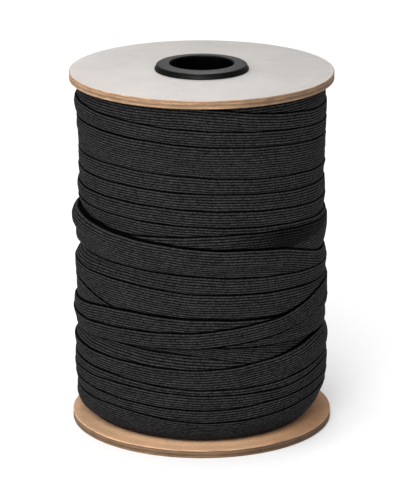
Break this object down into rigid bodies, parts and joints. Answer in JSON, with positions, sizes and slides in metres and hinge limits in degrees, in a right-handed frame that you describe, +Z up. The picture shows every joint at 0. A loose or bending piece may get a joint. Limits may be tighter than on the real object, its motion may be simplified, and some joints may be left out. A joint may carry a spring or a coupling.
{
  "type": "roll of elastic on a flanged plywood reel",
  "caption": "Black flat braided elastic wound on a round flanged plywood reel with a black plastic collar and a through bore.",
  "frame": {"origin": "middle of the lower flange's underside, on the reel's axis", "axes": "+Z up along the reel's axis, -Y the front as pictured, +X to its right"},
  "size_m": [0.1, 0.1, 0.14],
  "materials": {
    "plywood": "sanded 3-ply plywood, bare, tan",
    "faced_plywood": "3-ply plywood with a pale warm grey facing on its upper side, matt",
    "black_plastic": "moulded plastic, satin",
    "black_elastic": "flat braided polyester elastic, ribbed, matt"
  },
  "bodies": {
    "root": {"bottom_flange": "plywood", "top_flange": "faced_plywood", "core_tube": "black_plastic", "bore_collar": "black_plastic", "elastic_winding": "black_elastic"}
  },
  "joints": []
}
